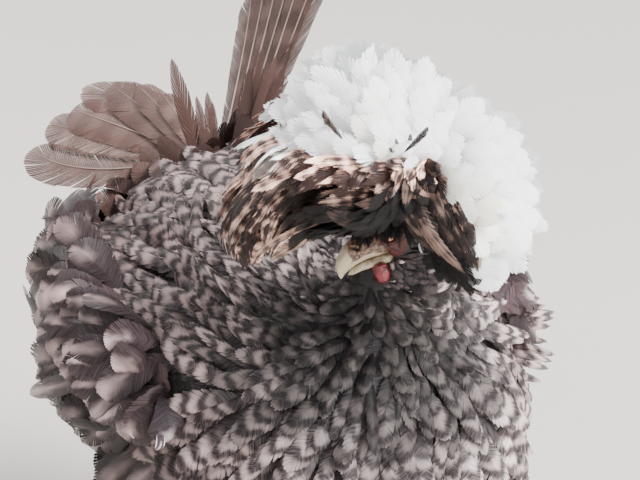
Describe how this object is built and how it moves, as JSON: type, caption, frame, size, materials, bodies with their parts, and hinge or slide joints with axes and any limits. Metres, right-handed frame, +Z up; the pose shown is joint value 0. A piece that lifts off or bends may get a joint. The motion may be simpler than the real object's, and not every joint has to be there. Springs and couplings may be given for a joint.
{
  "type": "polish crested chicken",
  "caption": "Life-size still hen of a crested breed, fluffed up and preening, its head turned to its right, with a large white crest and barred grey-brown feathers.",
  "frame": {"origin": "on the floor, under the middle of the whole bird's box", "axes": "+Z up, the bird faces -Y with its tail towards +Y, its right side is -X"},
  "size_m": [0.213, 0.3546, 0.3429],
  "materials": {
    "body_feather": "barred grey-brown feather, matte with a faint sheen",
    "wing_feather": "taupe feather with pale bars, low sheen",
    "tail_feather": "taupe feather with a pale shaft, low sheen",
    "crest_white": "soft white feather, matte",
    "crest_brown": "brown and tan feather, matte",
    "face_skin": "bare wrinkled red skin, slightly moist",
    "wattle": "bare pebbled red skin",
    "earlobe": "bare pale skin",
    "bill_horn": "polished horn, darker at the base",
    "claw_horn": "worn horn",
    "shank_scale": "slate-grey overlapping scales",
    "eye": "wet, orange-brown iris and black pupil"
  },
  "bodies": {
    "root": {"trunk": "body_feather", "neck": "body_feather", "drumstick_right": "body_feather", "drumstick_left": "body_feather", "head": "face_skin", "bill_upper": "bill_horn", "bill_lower": "bill_horn", "eye_right": "eye", "earlobe_right": "earlobe", "wattle_right": "wattle", "wing_right": "wing_feather", "flight_right": "wing_feather", "shank_right": "shank_scale", "rectrix_right_1": "tail_feather", "rectrix_right_2": "tail_feather", "rectrix_right_3": "tail_feather", "rectrix_right_4": "tail_feather", "rectrix_right_5": "tail_feather", "rectrix_right_6": "tail_feather", "rectrix_right_7": "tail_feather", "eye_left": "eye", "earlobe_left": "earlobe", "wattle_left": "wattle", "wing_left": "wing_feather", "flight_left": "wing_feather", "shank_left": "shank_scale", "rectrix_left_1": "tail_feather", "rectrix_left_2": "tail_feather", "rectrix_left_3": "tail_feather", "rectrix_left_4": "tail_feather", "rectrix_left_5": "tail_feather", "rectrix_left_6": "tail_feather", "rectrix_left_7": "tail_feather", "crest_crown": "crest_white", "crest_fringe": "crest_brown", "toe_middle_right": "shank_scale", "claw_middle_right": "claw_horn", "toe_inner_right": "shank_scale", "claw_inner_right": "claw_horn", "toe_outer_right": "shank_scale", "claw_outer_right": "claw_horn", "toe_hind_right": "shank_scale", "claw_hind_right": "claw_horn", "toe_middle_left": "shank_scale", "claw_middle_left": "claw_horn", "toe_inner_left": "shank_scale", "claw_inner_left": "claw_horn", "toe_outer_left": "shank_scale", "claw_outer_left": "claw_horn", "toe_hind_left": "shank_scale", "claw_hind_left": "claw_horn"}
  },
  "joints": []
}
